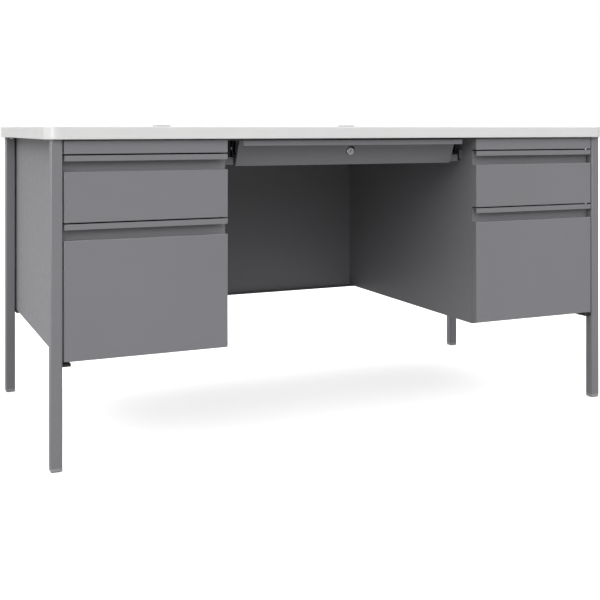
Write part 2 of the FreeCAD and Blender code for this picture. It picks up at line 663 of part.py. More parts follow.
def center_front():
    """Lip, top ledge, sloping face and bottom hem of one folded sheet, with end returns.

    Each flange is a flat solid that meets the next one at their fold.
    """
    lip_z = CENTER_TOP - CENTER_LIP_H
    over_hem = CENTER_BOTTOM + SHEET
    under_ledge = CENTER_TOP - SHEET
    wide = CENTER_HALF + CENTER_LIP_SPREAD
    lip_hem = block(-wide, wide, LIP_Y + SHEET, LIP_Y + LIP_HEM, lip_z, lip_z + SHEET)
    lip = block(-wide, wide, LIP_Y, LIP_Y + SHEET, lip_z, CENTER_TOP)
    ledge = along_x([(LIP_Y + SHEET, under_ledge), (LIP_Y + SHEET, CENTER_TOP),
                     (face_y(CENTER_TOP), CENTER_TOP), (face_y(under_ledge), under_ledge)], -wide, wide)
    behind_lip = FACE_TOP_Y - 1
    for side in (-1, 1):
        x0, x1 = sorted((side * CENTER_HALF, side * (wide + 1)))
        ledge = ledge.cut(block(x0, x1, behind_lip, 0, CENTER_BOTTOM, CENTER_TOP + 1))
        slant = along_y([(side * CENTER_HALF, lip_z - 1), (side * wide, CENTER_TOP + 0.1),
                         (side * (wide + 1), CENTER_TOP + 0.1), (side * (wide + 1), lip_z - 1)],
                        LIP_Y - 1, behind_lip)
        lip_hem, lip, ledge = lip_hem.cut(slant), lip.cut(slant), ledge.cut(slant)
    face = along_x([(face_y(CENTER_TOP), CENTER_TOP), (face_back_y(CENTER_TOP), CENTER_TOP),
                    (face_back_y(CENTER_BOTTOM), CENTER_BOTTOM), (face_y(CENTER_BOTTOM), CENTER_BOTTOM)],
                   -CENTER_HALF, CENTER_HALF)
    face = face.cut(rod(LOCK_R + FACE_HOLE_PLAY, 60, V(0, LIP_Y + 10, LOCK_Z + FACE_HOLE_RISE), V(0, 1, 0)))
    hem = along_x([(face_back_y(CENTER_BOTTOM), CENTER_BOTTOM), (FACE_BOTTOM_Y + CENTER_HEM, CENTER_BOTTOM),
                   (FACE_BOTTOM_Y + CENTER_HEM, over_hem), (face_back_y(over_hem), over_hem)],
                  -CENTER_HALF, CENTER_HALF)
    end = [(face_back_y(over_hem), over_hem), (face_back_y(CENTER_TOP), CENTER_TOP),
           (face_y(CENTER_TOP) + CENTER_RETURN, CENTER_TOP), (face_y(over_hem) + CENTER_RETURN, over_hem)]
    returns = [along_x(end, -CENTER_HALF, -CENTER_TRAY_HALF), along_x(end, CENTER_TRAY_HALF, CENTER_HALF)]
    return group([lip_hem, lip, ledge, face, hem] + returns)


def center_tray():
    """Shallow tray; the front and back walls are lower than the sides."""
    x = CENTER_TRAY_HALF
    y = CENTER_TRAY_Y
    sheets = tray(-x, x, y, y + CENTER_TRAY_LEN, CENTER_TRAY_Z, CENTER_TOP - CENTER_SIDES_BELOW,
                  CENTER_TOP - CENTER_WALLS_BELOW)
    hole = rod(LOCK_R + LOCK_HOLE_PLAY, 3 * TRAY_SHEET, V(0, y - TRAY_SHEET, LOCK_Z), V(0, 1, 0))
    return group([sheet.cut(hole) for sheet in sheets])


def pencil_tray():
    """Moulded insert with three compartments at the front of the centre tray."""
    wall = PENCIL_WALL
    x = CENTER_TRAY_HALF - TRAY_SHEET - PENCIL_END_GAP
    y = CAM_Y + CAM_T + PENCIL_BEHIND_CAM + PENCIL_D / 2
    z0 = CENTER_TRAY_Z + TRAY_SHEET
    z1 = z0 + PENCIL_H
    body = rounded_slab(2 * x, PENCIL_D, PENCIL_ROUND, z0, z1, 0, y)
    third = (2 * x - 4 * wall) / 3
    for i in range(3):
        middle = -x + wall + third / 2 + i * (third + wall)
        pocket = rounded_slab(third, PENCIL_D - 2 * wall, PENCIL_ROUND - wall, z0 + wall, z1 + 1, middle, y)
        body = body.cut(pocket)
    return body


CENTER_WALL = CENTER_TRAY_HALF + SLIDE_T          # outer face of the centre case slide
CENTER_CASE_Y = CENTER_SLIDE_Y - CENTER_SLIDE_AHEAD


def center_bracket():
    """Folded bracket from the pedestal side in under the centre slide and up behind it."""
    t = BRACKET_SHEET
    y0 = CENTER_SLIDE_Y + BRACKET_BACK
    y1 = y0 + CENTER_SLIDE_LEN
    z0 = CENTER_BOTTOM + BRACKET_CLEAR
    inner = CENTER_HALF + BRACKET_IN
    shelf_z = CENTER_SLIDE_Z - CENTER_SLIDE_H / 2 - BRACKET_UNDER_SLIDE
    path = [(CASE_IN, z0 + BRACKET_LEG_H), (CASE_IN, z0), (inner, z0), (inner, shelf_z)]
    lower = along_y(folded(path, t), y0, y1)
    shelf = block(inner, CENTER_WALL + t, y0, y1, shelf_z - t, shelf_z)
    upstand = block(CENTER_WALL, CENTER_WALL + t, y0, y1, shelf_z - t, CENTER_SLIDE_Z + CENTER_SLIDE_H / 2)
    end = block(inner, CASE_IN - BRACKET_END_GAP, y0, y0 + t, z0, shelf_z)
    tab = block(CASE_IN - BRACKET_TAB, CASE_IN, y0, y0 + t, z0 + BRACKET_TAB_UP, z0 + BRACKET_LEG_H)
    bracket = lower.fuse([shelf, upstand, end, tab]).removeSplitter()
    holes = [rod(SCREW_R, 3 * t, V(CASE_IN - 2 * t, y, z), V(1, 0, 0)) for y, z in bracket_screw_places()]
    rivet_holes = [rod(RIVET_R / 2, 3 * t, V(CENTER_WALL - t, y, CENTER_SLIDE_Z), V(1, 0, 0))
                   for y in center_rivet_places()]
    return bracket.cut(holes + rivet_holes)


def center_rivet_places():
    return [CENTER_CASE_Y + RIVET_FRONT + CENTER_SLIDE_LEN * share for share in RIVET_SHARES]


def center_case_slide():
    bar = slide_bar(CENTER_CASE_MEMBER, CENTER_WALL, -1, CENTER_SLIDE_Z, CENTER_CASE_Y,
                    CENTER_CASE_Y + CENTER_SLIDE_LEN)
    x = CENTER_WALL - SLIDE_SHEET - 1
    holes = [rod(RIVET_R / 2, SLIDE_SHEET + 2, V(x, y, CENTER_SLIDE_Z), V(1, 0, 0))
             for y in center_rivet_places()]
    return bar.cut(holes)


def center_rivets():
    """Rivets through the case slide; the front one stands clear of the bracket."""
    rivets = []
    for i, y in enumerate(center_rivet_places()):
        seat = CENTER_WALL + (BRACKET_SHEET if i else 0.0)
        start = V(CENTER_WALL - SLIDE_SHEET, y, CENTER_SLIDE_Z)
        shank = rod(RIVET_R / 2, seat - CENTER_WALL + SLIDE_SHEET, start, V(1, 0, 0))
        head = rod(RIVET_R, RIVET_H, V(seat, y, CENTER_SLIDE_Z), V(1, 0, 0))
        head = head.makeChamfer(HEAD_CHAMFER, edges_far(head, start))
        rivets.append(shank.fuse(head).removeSplitter())
    return rivets


# ---------------------------------------------------------------- lock
def lock_barrel():
    """Round housing with a collar behind the face and a bore for the plug."""
    length = BARREL_BACK_Y - LOCK_FACE_Y
    body = rod(LOCK_R, length, V(0, LOCK_FACE_Y, LOCK_Z), V(0, 1, 0))
    body = body.makeChamfer(HEAD_CHAMFER, edges_at(body, "y", LOCK_FACE_Y))
    collar = rod(LOCK_COLLAR_R, LOCK_COLLAR_T, V(0, CENTER_TRAY_Y - LOCK_COLLAR_T, LOCK_Z), V(0, 1, 0))
    bore = rod(PLUG_R + PLUG_PLAY, length + 2, V(0, LOCK_FACE_Y - 1, LOCK_Z), V(0, 1, 0))
    return body.fuse(collar).cut(bore).removeSplitter()


def lock_nut():
    corner = LOCK_NUT_AF / math.sqrt(3)
    hexagon = [(corner * math.cos(math.radians(60 * i)), LOCK_Z + corner * math.sin(math.radians(60 * i)))
               for i in range(6)]
    nut = along_y(hexagon, NUT_Y, NUT_Y + LOCK_NUT_T)
    return nut.cut(rod(LOCK_R, LOCK_NUT_T + 2, V(0, NUT_Y - 1, LOCK_Z), V(0, 1, 0)))


def lock_plug():
    """Turning plug with a key slot in front and a square tail behind."""
    front = LOCK_FACE_Y + PLUG_SINK
    plug = rod(PLUG_R, CAM_Y - front, V(0, front, LOCK_Z), V(0, 1, 0))
    half = LOCK_TAIL / 2
    tail = block(-half, half, CAM_Y, CAM_Y + CAM_T, LOCK_Z - half, LOCK_Z + half)
    slot = block(-KEY_SLOT_W / 2, KEY_SLOT_W / 2, front - 1, front + KEY_SLOT_DEEP,
                 LOCK_Z - KEY_SLOT_L / 2, LOCK_Z + KEY_SLOT_L / 2)
    slot.rotate(V(0, 0, LOCK_Z), V(0, 1, 0), KEY_SLOT_LEAN)
    deep = CAM_SCREW_LEN + 1
    thread = rod(SCREW_R, deep, V(0, CAM_Y + CAM_T - deep, LOCK_Z), V(0, 1, 0))
    return plug.fuse(tail).cut([slot, thread]).removeSplitter()


def lock_cam():
    """Flat tongue on the tail; at rest it points sideways, turned up it meets the strike."""
    half = CAM_W / 2
    arm = block(0, CAM_REACH - half, CAM_Y, CAM_Y + CAM_T, LOCK_Z - half, LOCK_Z + half)
    ends = [rod(half, CAM_T, V(x, CAM_Y, LOCK_Z), V(0, 1, 0)) for x in (0.0, CAM_REACH - half)]
    square = LOCK_TAIL / 2
    hole = block(-square, square, CAM_Y, CAM_Y + CAM_T, LOCK_Z - square, LOCK_Z + square)
    return arm.fuse(ends).removeSplitter().cut(hole)


def cam_screw():
    return screw(V(0, CAM_Y + CAM_T - CAM_SCREW_LEN, LOCK_Z), CAM_SCREW_LEN, V(0, 1, 0))


def lock_strike():
    """Angle under the worktop that the cam turns up behind."""
    half = STRIKE_W / 2
    z = TOP_UNDER - STRIKE_T
    wing = block(-half, half, STRIKE_Y, STRIKE_Y + STRIKE_WING, z, TOP_UNDER)
    face = block(-half, half, STRIKE_Y, STRIKE_Y + STRIKE_T, STRIKE_BOTTOM, TOP_UNDER)
    holes = [rod(SCREW_R, STRIKE_T, V(x, y, z), V(0, 0, 1)) for x, y in strike_screw_places()]
    return wing.fuse(face).removeSplitter().cut(group(holes))


# ---------------------------------------------------------------- screws
def worktop_screws():
    corners, angles, strike = worktop_screw_places()
    down = V(0, 0, -1)
    screws = []
    for places, sheet in ((corners, LEG_PLATE), (angles, ANGLE_T), (strike, STRIKE_T)):
        for x, y in places:
            screws.append(screw(V(x, y, TOP_UNDER + SCREW_IN_CORE), SCREW_IN_CORE + sheet, down))
    return screws


def frame_screws():
    """Screws of the leg brackets, modesty panel and centre brackets, right side."""
    x, y = foot_screw_place()
    deep = FRAME_SCREW_LEN
    screws = [screw(V(x, side * y, CASE_BOTTOM + deep), deep + FOOT_T, V(0, 0, -1)) for side in (-1, 1)]
    for px, pz in panel_screw_places():
        screws.append(screw(V(px, CASE_BACK_Y - deep, pz), deep + PANEL_SHEET, V(0, 1, 0)))
    for by, bz in bracket_screw_places():
        screws.append(screw(V(CASE_IN + deep, by, bz), deep + BRACKET_SHEET, V(-1, 0, 0)))
    return screws


# ---------------------------------------------------------------- build
def build_worktop():
    save("worktop_core", top_slab(TOP_UNDER + SKIN, HEIGHT - SKIN).cut(grommet_holes() + screw_holes()))
    save("worktop_laminate", top_slab(HEIGHT - SKIN, HEIGHT).cut(grommet_holes()))
    save("worktop_backer", top_slab(TOP_UNDER, TOP_UNDER + SKIN).cut(grommet_holes() + screw_holes()))
    save("worktop_edge_band", edge_band())
    save("grommet_sleeves", group([grommet_sleeve(x, y) for x, y in grommet_places()]))
    save("grommet_caps", group([grommet_cap(x, y) for x, y in grommet_places()]))


def build_legs():
    rear = leg()
    save_pair("rear_leg", rear)
    save_pair("front_leg", front_to_back(rear))
    save("leg_glides", group(four_corners(glide())))
    save("leg_top_plates", group(four_corners(leg_plate())))
    save("leg_brackets", group(four_corners(leg_bracket())))


def build_pedestals():
    save_pair("case_shell", case_shell())
    save_pair("header_rail", pan(RAIL_BOTTOM, CASE_TOP, FRONT_DEPTH + FRONT_TO_CASE))
    right = bottom_rails()
    save("case_bottom_rails", group(right + [mirrored(r) for r in right]))
    right = top_angles()
    save("case_top_angles", group(right + [mirrored(a) for a in right]))
    box_rim = BOX_TOP - BOX_TRAY_BELOW_TOP
    file_rim = FILE_TOP - FILE_TRAY_BELOW_TOP
    members = pedestal_drawer("box", BOX_BOTTOM, BOX_FACE_TOP, BOX_TOP, box_rim, BOX_SLIDE_UP)
    members += pedestal_drawer("file", FILE_BOTTOM, FILE_FACE_TOP, FILE_TOP, file_rim, FILE_SLIDE_UP)
    save_pair("case_slides", group(members))
    save_pair("file_hanger_rails", group(hanger_rails(file_rim)))


def build_center_drawer():
    bracket = center_bracket()
    save("center_slide_brackets", group([bracket, mirrored(bracket)]))
    outer = center_case_slide()
    save("center_case_slides", group([outer, mirrored(outer)]))
    rivets = center_rivets()
    save("center_slide_rivets", group(rivets + [mirrored(r) for r in rivets]))
    inner = slide_bar(CENTER_DRAWER_MEMBER, CENTER_WALL, -1, CENTER_SLIDE_Z, CENTER_SLIDE_Y,
                      CENTER_SLIDE_Y + CENTER_SLIDE_LEN - CENTER_SLIDE_AHEAD)
    save("center_drawer_slides", group([inner, mirrored(inner)]))
    save("center_drawer_front", center_front())
    save("center_drawer_tray", center_tray())
    save("pencil_tray", pencil_tray())
    save("lock_barrel", lock_barrel())
    save("lock_nut", lock_nut())
    save("lock_plug", lock_plug())
    save("lock_cam", lock_cam())
    save("lock_cam_screw", cam_screw())
    save("lock_strike", lock_strike())


def build_back_and_screws():
    save("modesty_panel", modesty_panel())
    save("worktop_screws", group(worktop_screws()))
    right = frame_screws()
    save("frame_screws", group(right + [mirrored(s) for s in right]))


build_worktop()
build_legs()
build_pedestals()
build_center_drawer()
build_back_and_screws()
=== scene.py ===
# %% [markdown]
# # A steel teacher desk: finishes and fine parts in Blender
#
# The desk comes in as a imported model: every sheet, tube, slide and screw already has its true size
# and place.  This lesson gives each of them the finish that the real piece has, rebuilds the small
# pieces whose roundness matters, and sets up a bright studio to see them in.
#
# Everything is in metres, with the front towards -Y and the floor at Z = 0.

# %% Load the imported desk
import json
import math

import bmesh
import bpy
from mathutils import Matrix, Vector

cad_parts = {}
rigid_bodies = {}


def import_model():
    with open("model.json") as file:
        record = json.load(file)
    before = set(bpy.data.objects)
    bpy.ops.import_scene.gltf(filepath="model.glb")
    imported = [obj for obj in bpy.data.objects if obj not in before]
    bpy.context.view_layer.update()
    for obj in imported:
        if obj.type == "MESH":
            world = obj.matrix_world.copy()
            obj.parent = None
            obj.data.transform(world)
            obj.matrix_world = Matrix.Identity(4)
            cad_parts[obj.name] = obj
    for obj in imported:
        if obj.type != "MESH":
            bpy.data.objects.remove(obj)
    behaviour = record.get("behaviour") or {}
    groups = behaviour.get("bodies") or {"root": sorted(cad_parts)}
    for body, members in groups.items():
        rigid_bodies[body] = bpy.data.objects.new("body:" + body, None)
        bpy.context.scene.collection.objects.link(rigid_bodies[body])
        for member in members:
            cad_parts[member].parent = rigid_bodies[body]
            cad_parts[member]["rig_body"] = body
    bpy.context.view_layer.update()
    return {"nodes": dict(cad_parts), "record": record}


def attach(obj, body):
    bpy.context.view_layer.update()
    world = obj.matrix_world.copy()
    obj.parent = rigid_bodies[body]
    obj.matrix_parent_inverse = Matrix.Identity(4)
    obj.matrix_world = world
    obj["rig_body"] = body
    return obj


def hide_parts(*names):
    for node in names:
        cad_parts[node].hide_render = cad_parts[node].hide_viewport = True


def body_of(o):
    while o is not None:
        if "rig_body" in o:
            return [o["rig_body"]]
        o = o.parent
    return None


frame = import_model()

MM = 0.001
nodes = frame["nodes"]

# %% [markdown]
# ## Node helpers
#
# A procedural material is a small graph.  Two helpers keep each graph short enough to read: `new_finish`
# makes a material and hands back its shader, and `link_node` adds a node, fills in its plain
# numbers and plugs in whatever is already made.

# %% Helpers for material graphs
def new_finish(name, metallic, roughness, coat=0.0, coat_roughness=0.3, specular=0.5):
    """A material whose uniform numbers sit on the shader's own sockets."""
    material = bpy.data.materials.new(name)
    material.use_nodes = True
    shader = material.node_tree.nodes["Principled BSDF"]
    shader.inputs["Metallic"].default_value = metallic
    shader.inputs["Roughness"].default_value = roughness
    shader.inputs["Coat Weight"].default_value = coat
    shader.inputs["Coat Roughness"].default_value = coat_roughness
    shader.inputs["Specular IOR Level"].default_value = specular
    return material, shader


def link_node(shader, kind, inputs=None, **settings):
    """Adds a node beside the shader; an input may be a number, a colour or another node's output."""
    tree = shader.id_data
    made = tree.nodes.new(kind)
    for key, value in settings.items():
        setattr(made, key, value)
    for key, value in (inputs or {}).items():
        if isinstance(value, bpy.types.NodeSocket):
            tree.links.new(value, made.inputs[key])
        else:
            made.inputs[key].default_value = value
    return made


def plug(shader, output, name):
    shader.id_data.links.new(output, shader.inputs[name])


def object_coordinates(shader):
    return link_node(shader, "ShaderNodeTexCoord").outputs["Object"]


def grain(shader, coordinates, cell, detail=2.0, stretch=(1.0, 1.0, 1.0)):
    """Noise whose features are about `cell` metres across, drawn out along any axis with a small factor."""
    mapping = link_node(shader, "ShaderNodeMapping", {"Vector": coordinates, "Scale": stretch})
    inputs = {"Vector": mapping.outputs["Vector"], "Scale": 1.0 / cell, "Detail": detail}
    return link_node(shader, "ShaderNodeTexNoise", inputs).outputs["Fac"]


def spread(shader, value, low=0.0, high=1.0, start=0.3, stop=0.7):
    """Stretches a noise's middle values over a wanted range."""
    inputs = {"Value": value, "From Min": start, "From Max": stop, "To Min": low, "To Max": high}
    return link_node(shader, "ShaderNodeMapRange", inputs).outputs["Result"]


def blend_colours(shader, factor, first, second):
    """Mixes two colours, each given as numbers or as another node's output."""
    made = link_node(shader, "ShaderNodeMix", data_type="RGBA")
    tree = shader.id_data
    tree.links.new(factor, made.inputs[0])
    for socket, colour in ((made.inputs[6], first), (made.inputs[7], second)):
        if isinstance(colour, bpy.types.NodeSocket):
            tree.links.new(colour, socket)
        else:
            socket.default_value = (*colour, 1.0)
    return made.outputs[2]


def relief(shader, height, depth, strength=1.0, under=None):
    """Bump of a given depth in metres, laid over another one if there is one."""
    inputs = {"Height": height, "Distance": depth, "Strength": strength}
    if under is not None:
        inputs["Normal"] = under
    return link_node(shader, "ShaderNodeBump", inputs).outputs["Normal"]


def edge_mask(shader, radius, start, stop):
    """White where the surface turns within `radius`: the rounded normal leaves the true one there."""
    rounded = link_node(shader, "ShaderNodeBevel", {"Radius": radius}, samples=4).outputs["Normal"]
    true = link_node(shader, "ShaderNodeNewGeometry").outputs["True Normal"]
    facing = link_node(shader, "ShaderNodeVectorMath", {0: rounded, 1: true}, operation="DOT_PRODUCT")
    return spread(shader, facing.outputs["Value"], 1.0, 0.0, start, stop)


def tinted(colour, factor):
    """The colour made darker (below 1) or lighter (above 1)."""
    return [channel * factor for channel in colour]


print("material helpers ready")

# %% [markdown]
# ## Grey powder coat
#
# The legs, cases and drawer fronts are sheet steel with a baked powder coat.  Up close it has
# a fine orange-peel skin about a millimetre across and satin gloss that wanders a little from place
# to place.  Every fold is painted slightly lighter: a painted highlight along the edges.
# The colour is nearly even: a large, faint cloudiness is all that the eye catches from a step away.

# %% Grey powder coat
GREY_PAINT = (0.205, 0.201, 0.215)
BLACK_PAINT = (0.012, 0.012, 0.013)


def powder_coat(name, colour, roughness=(0.40, 0.50), edge_highlight_gain=1.25):
    material, shader = new_finish(name, metallic=0.0, roughness=0.45, coat=0.12, coat_roughness=0.35)
    coordinates = object_coordinates(shader)
    cloud = spread(shader, grain(shader, coordinates, cell=350 * MM, detail=1.0))
    speck = spread(shader, grain(shader, coordinates, cell=1.1 * MM, detail=1.0))
    clouded = blend_colours(shader, cloud, tinted(colour, 0.965), tinted(colour, 1.03))
    specked = blend_colours(shader, speck, clouded, colour)
    # Painted highlight: the colour is lifted along every fold, by the edge highlight gain.
    edges = edge_mask(shader, radius=1.2 * MM, start=0.80, stop=0.995)
    edge_highlighted = blend_colours(shader, edges, specked, tinted(colour, edge_highlight_gain))
    plug(shader, edge_highlighted, "Base Color")
    satin = grain(shader, coordinates, cell=20 * MM, detail=3.0)
    plug(shader, spread(shader, satin, *roughness), "Roughness")
    peel = relief(shader, grain(shader, coordinates, cell=1.4 * MM, detail=1.0), depth=0.03 * MM)
    flow = grain(shader, coordinates, cell=6 * MM, detail=1.0)
    pool = relief(shader, flow, depth=0.03 * MM, strength=0.4, under=peel)
    plug(shader, pool, "Normal")
    return material


grey_paint = powder_coat("grey_powder_coat", GREY_PAINT)
# The black slides get a stronger painted highlight on their folds.
black_paint = powder_coat("black_slide_coat", BLACK_PAINT, roughness=(0.28, 0.40), edge_highlight_gain=2.2)
print("paints:", grey_paint.name, black_paint.name)

# %% [markdown]
# ## White top: laminate, edge band, balancing sheet and board
#
# The writing surface is a pressed laminate.  Its white is broken by an eggshell texture, a tenth
# of a millimetre high at most, which keeps reflections soft.  The edge band is a smoother plastic
# strip with faint lines along its length from the rollers that pressed it on.  The underside has
# a plain brown-grey paper sheet, and raw chipboard shows only inside the cable holes.

# %% White laminate and edge band
def white_laminate():
    material, shader = new_finish("white_laminate", metallic=0.0, roughness=0.42,
                                  coat=0.1, coat_roughness=0.4)
    coordinates = object_coordinates(shader)
    cloud = spread(shader, grain(shader, coordinates, cell=250 * MM))
    plug(shader, blend_colours(shader, cloud, (0.61, 0.61, 0.61), (0.64, 0.64, 0.635)), "Base Color")
    shell = grain(shader, coordinates, cell=1.8 * MM)
    plug(shader, spread(shader, shell, low=0.36, high=0.48), "Roughness")
    plug(shader, relief(shader, shell, depth=0.08 * MM, strength=0.8), "Normal")
    return material


def edge_banding():
    material, shader = new_finish("white_edge_band", metallic=0.0, roughness=0.35)
    coordinates = object_coordinates(shader)
    lines = grain(shader, coordinates, cell=1.2 * MM, stretch=(0.01, 0.01, 1.0))
    cloud = spread(shader, grain(shader, coordinates, cell=90 * MM))
    plug(shader, blend_colours(shader, cloud, (0.715, 0.715, 0.712), (0.745, 0.745, 0.74)), "Base Color")
    plug(shader, spread(shader, lines, low=0.30, high=0.40), "Roughness")
    plug(shader, relief(shader, lines, depth=0.03 * MM, strength=0.6), "Normal")
    return material


# %% Balancing sheet and chipboard
def balancing_sheet():
    material, shader = new_finish("balancing_sheet", metallic=0.0, roughness=0.7)
    coordinates = object_coordinates(shader)
    fibre = grain(shader, coordinates, cell=2.5 * MM, detail=4.0, stretch=(0.15, 1.0, 1.0))
    shade = spread(shader, fibre)
    plug(shader, blend_colours(shader, shade, (0.50, 0.46, 0.40), (0.58, 0.54, 0.48)), "Base Color")
    plug(shader, relief(shader, fibre, depth=0.08 * MM), "Normal")
    return material


def chipboard():
    material, shader = new_finish("chipboard", metallic=0.0, roughness=0.85)
    coordinates = object_coordinates(shader)
    mapping = link_node(shader, "ShaderNodeMapping", {"Vector": coordinates, "Scale": (1.0, 1.0, 3.0)})
    chips = link_node(shader, "ShaderNodeTexVoronoi", {"Vector": mapping.outputs["Vector"], "Scale": 450.0})
    shade = spread(shader, chips.outputs["Distance"], start=0.1, stop=0.8)
    plug(shader, blend_colours(shader, shade, (0.62, 0.45, 0.27), (0.30, 0.19, 0.10)), "Base Color")
    plug(shader, relief(shader, chips.outputs["Distance"], depth=0.4 * MM), "Normal")
    return material


top_finishes = {"white_laminate": white_laminate(), "white_edging": edge_banding(),
                "backer_sheet": balancing_sheet(), "particleboard": chipboard()}
print("top finishes:", sorted(finish.name for finish in top_finishes.values()))

# %% [markdown]
# ## Bare metals
#
# Slides, hanging rails and fasteners are zinc plated: grey-blue, drawn along the strip, with a
# patchy dull bloom.  The lock is brighter: nickel over a zinc casting, with turning marks.

# %% Zinc plate and bright nickel
DRAWN_ALONG_Y = (1.0, 0.03, 1.0)


def zinc_plate(name, metallic=1.0):
    material, shader = new_finish(name, metallic=metallic, roughness=0.35)
    coordinates = object_coordinates(shader)
    bloom = spread(shader, grain(shader, coordinates, cell=18 * MM, detail=3.0))
    plug(shader, blend_colours(shader, bloom, (0.53, 0.54, 0.555), (0.60, 0.61, 0.62)), "Base Color")
    streak = grain(shader, coordinates, cell=0.9 * MM, detail=3.0, stretch=DRAWN_ALONG_Y)
    plug(shader, spread(shader, streak, low=0.32, high=0.46), "Roughness")
    plug(shader, relief(shader, streak, depth=0.03 * MM, strength=0.7), "Normal")
    return material


def bright_nickel():
    """Satin nickel, with painted shade: the colour goes nearly black in the key slot and the other narrow
    recesses.
    """
    material, shader = new_finish("satin_nickel", metallic=1.0, roughness=0.3)
    coordinates = object_coordinates(shader)
    fine = grain(shader, coordinates, cell=0.6 * MM)
    dull = spread(shader, grain(shader, coordinates, cell=4 * MM))
    plated = blend_colours(shader, dull, (0.60, 0.595, 0.60), (0.70, 0.695, 0.70))
    # Painted shade: ambient occlusion darkens the colour almost to black wherever the surface is hemmed in
    # within 2.5 mm.
    open_air = link_node(shader, "ShaderNodeAmbientOcclusion", {"Distance": 2.5 * MM}, samples=8)
    painted_recess_shade = spread(shader, open_air.outputs["AO"], start=0.45, stop=0.80)
    plug(shader, blend_colours(shader, painted_recess_shade, (0.010, 0.010, 0.010), plated), "Base Color")
    plug(shader, spread(shader, fine, low=0.26, high=0.40), "Roughness")
    plug(shader, relief(shader, fine, depth=0.02 * MM, strength=0.6), "Normal")
    return material


zinc = zinc_plate("zinc_plate")
nickel = bright_nickel()
print("metals:", zinc.name, nickel.name)

# %% [markdown]
# ## Moulded plastics
#
# Glides, grommets and the pencil tray are moulded against spark-eroded steel, which leaves a dull
# skin of fine pits.  High spots polish with use, so the gloss varies more than the colour does.

# %% Moulded plastics
def moulded(name, colour):
    material, shader = new_finish(name, metallic=0.0, roughness=0.5, specular=0.45)
    coordinates = object_coordinates(shader)
    pits = grain(shader, coordinates, cell=0.7 * MM)
    flow = spread(shader, grain(shader, coordinates, cell=30 * MM))
    plug(shader, blend_colours(shader, flow, tinted(colour, 0.93), tinted(colour, 1.06)), "Base Color")
    plug(shader, spread(shader, pits, low=0.42, high=0.60), "Roughness")
    plug(shader, relief(shader, pits, depth=0.06 * MM), "Normal")
    return material


grey_plastic = moulded("grey_moulding", (0.30, 0.30, 0.31))
black_plastic = moulded("black_moulding", (0.022, 0.022, 0.023))
print("plastics:", grey_plastic.name, black_plastic.name)

# %% [markdown]
# ## Hand the finishes out
#
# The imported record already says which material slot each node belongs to, so the finishes are
# given out by slot.  One list decides everything, and a node that nobody thought of would stop
# the script instead of staying plain.

# %% One finish for each slot
finish_of_slot = {"grey_paint": grey_paint, "black_steel": black_paint, "zinc_steel": zinc,
                  "lock_zinc": nickel, "grey_plastic": grey_plastic, "black_plastic": black_plastic,
                  **top_finishes}
slot_of_node = {part["node"]: part["material_slot"] for part in frame["record"]["subparts"]}


def wear(piece, material):
    piece.data.materials.clear()
    piece.data.materials.append(material)


for name, piece in nodes.items():
    wear(piece, finish_of_slot[slot_of_node[name]])
print(len(nodes), "nodes finished in", len(finish_of_slot), "materials")

# %% [markdown]
# ## Soften the folds
#
# Real sheet metal has no knife edges: a press brake leaves a small radius on each fold, and paint
# rounds a sheared edge.  Those radii catch a thin line of light, which is what makes a panel look
# like metal.  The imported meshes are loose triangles, so a Weld joins them first, and a Bevel limited
# by angle then rounds only true edges.  The big pierced panels, the case shells and the modesty
# panel, keep their plain folds: a radius round their screw holes would show as lines across them.

# %% Rounded folds on the sheet-metal nodes
SAME_POINT = 0.01 * MM


def soften(piece, radius):
    weld = piece.modifiers.new("join_triangles", "WELD")
    weld.merge_threshold = SAME_POINT
    bevel = piece.modifiers.new("fold_radius", "BEVEL")
    bevel.width = radius
    bevel.segments = 3
    bevel.limit_method = "ANGLE"
    bevel.angle_limit = math.radians(40)
    bevel.use_clamp_overlap = True
    bevel.harden_normals = True


# Radius in mm for each ending of a node's name.
SOFT_FOLDS = {"_box_front": 0.9, "_file_front": 0.9, "_pull": 0.55, "_header_rail": 0.9, "_leg": 0.3,
              "center_drawer_front": 0.5, "center_slide_brackets": 0.4, "_hanger_rails": 0.5,
              "leg_brackets": 0.6, "leg_top_plates": 0.4, "case_bottom_rails": 0.4,
              "case_top_angles": 0.4, "pencil_tray": 0.7, "grommet_caps": 0.5, "grommet_sleeves": 0.4,
              "lock_strike": 0.4, "lock_cam": 0.4, "lock_barrel": 0.3, "lock_plug": 0.2, "lock_nut": 0.4}
softened = 0
for name, piece in nodes.items():
    radius = [size for ending, size in SOFT_FOLDS.items() if name.endswith(ending)]
    if radius:
        soften(piece, radius[0] * MM)
        softened += 1
print(softened, "nodes with softened folds")

# %% [markdown]
# ## Fine parts, built anew
#
# Some parts need more shape than their plain solids have: a drawer body is folded sheet with a hem
# rolled over along each rim, and a screw has a domed head with a cross in it.  Each is built here
# from the sizes of the part that it stands for, rides on the same body and takes its place.

# %% Tools for building a piece
def solids_of(name):
    """Corner points of each separate solid of a node, where it stands at rest."""
    shape = bmesh.new()
    shape.from_mesh(nodes[name].data)
    bmesh.ops.transform(shape, matrix=nodes[name].matrix_world, verts=shape.verts)
    bmesh.ops.remove_doubles(shape, verts=shape.verts, dist=SAME_POINT)
    waiting = set(shape.verts)
    found = []
    while waiting:
        group = [waiting.pop()]
        for vert in group:
            near = {edge.other_vert(vert) for edge in vert.link_edges} & waiting
            waiting -= near
            group.extend(near)
        found.append([vert.co.copy() for vert in group])
    shape.free()
    return found


def extent(points):
    """Lowest and highest corner of the box round some points."""
    low = Vector([min(point[axis] for point in points) for axis in range(3)])
    high = Vector([max(point[axis] for point in points) for axis in range(3)])
    return low, high


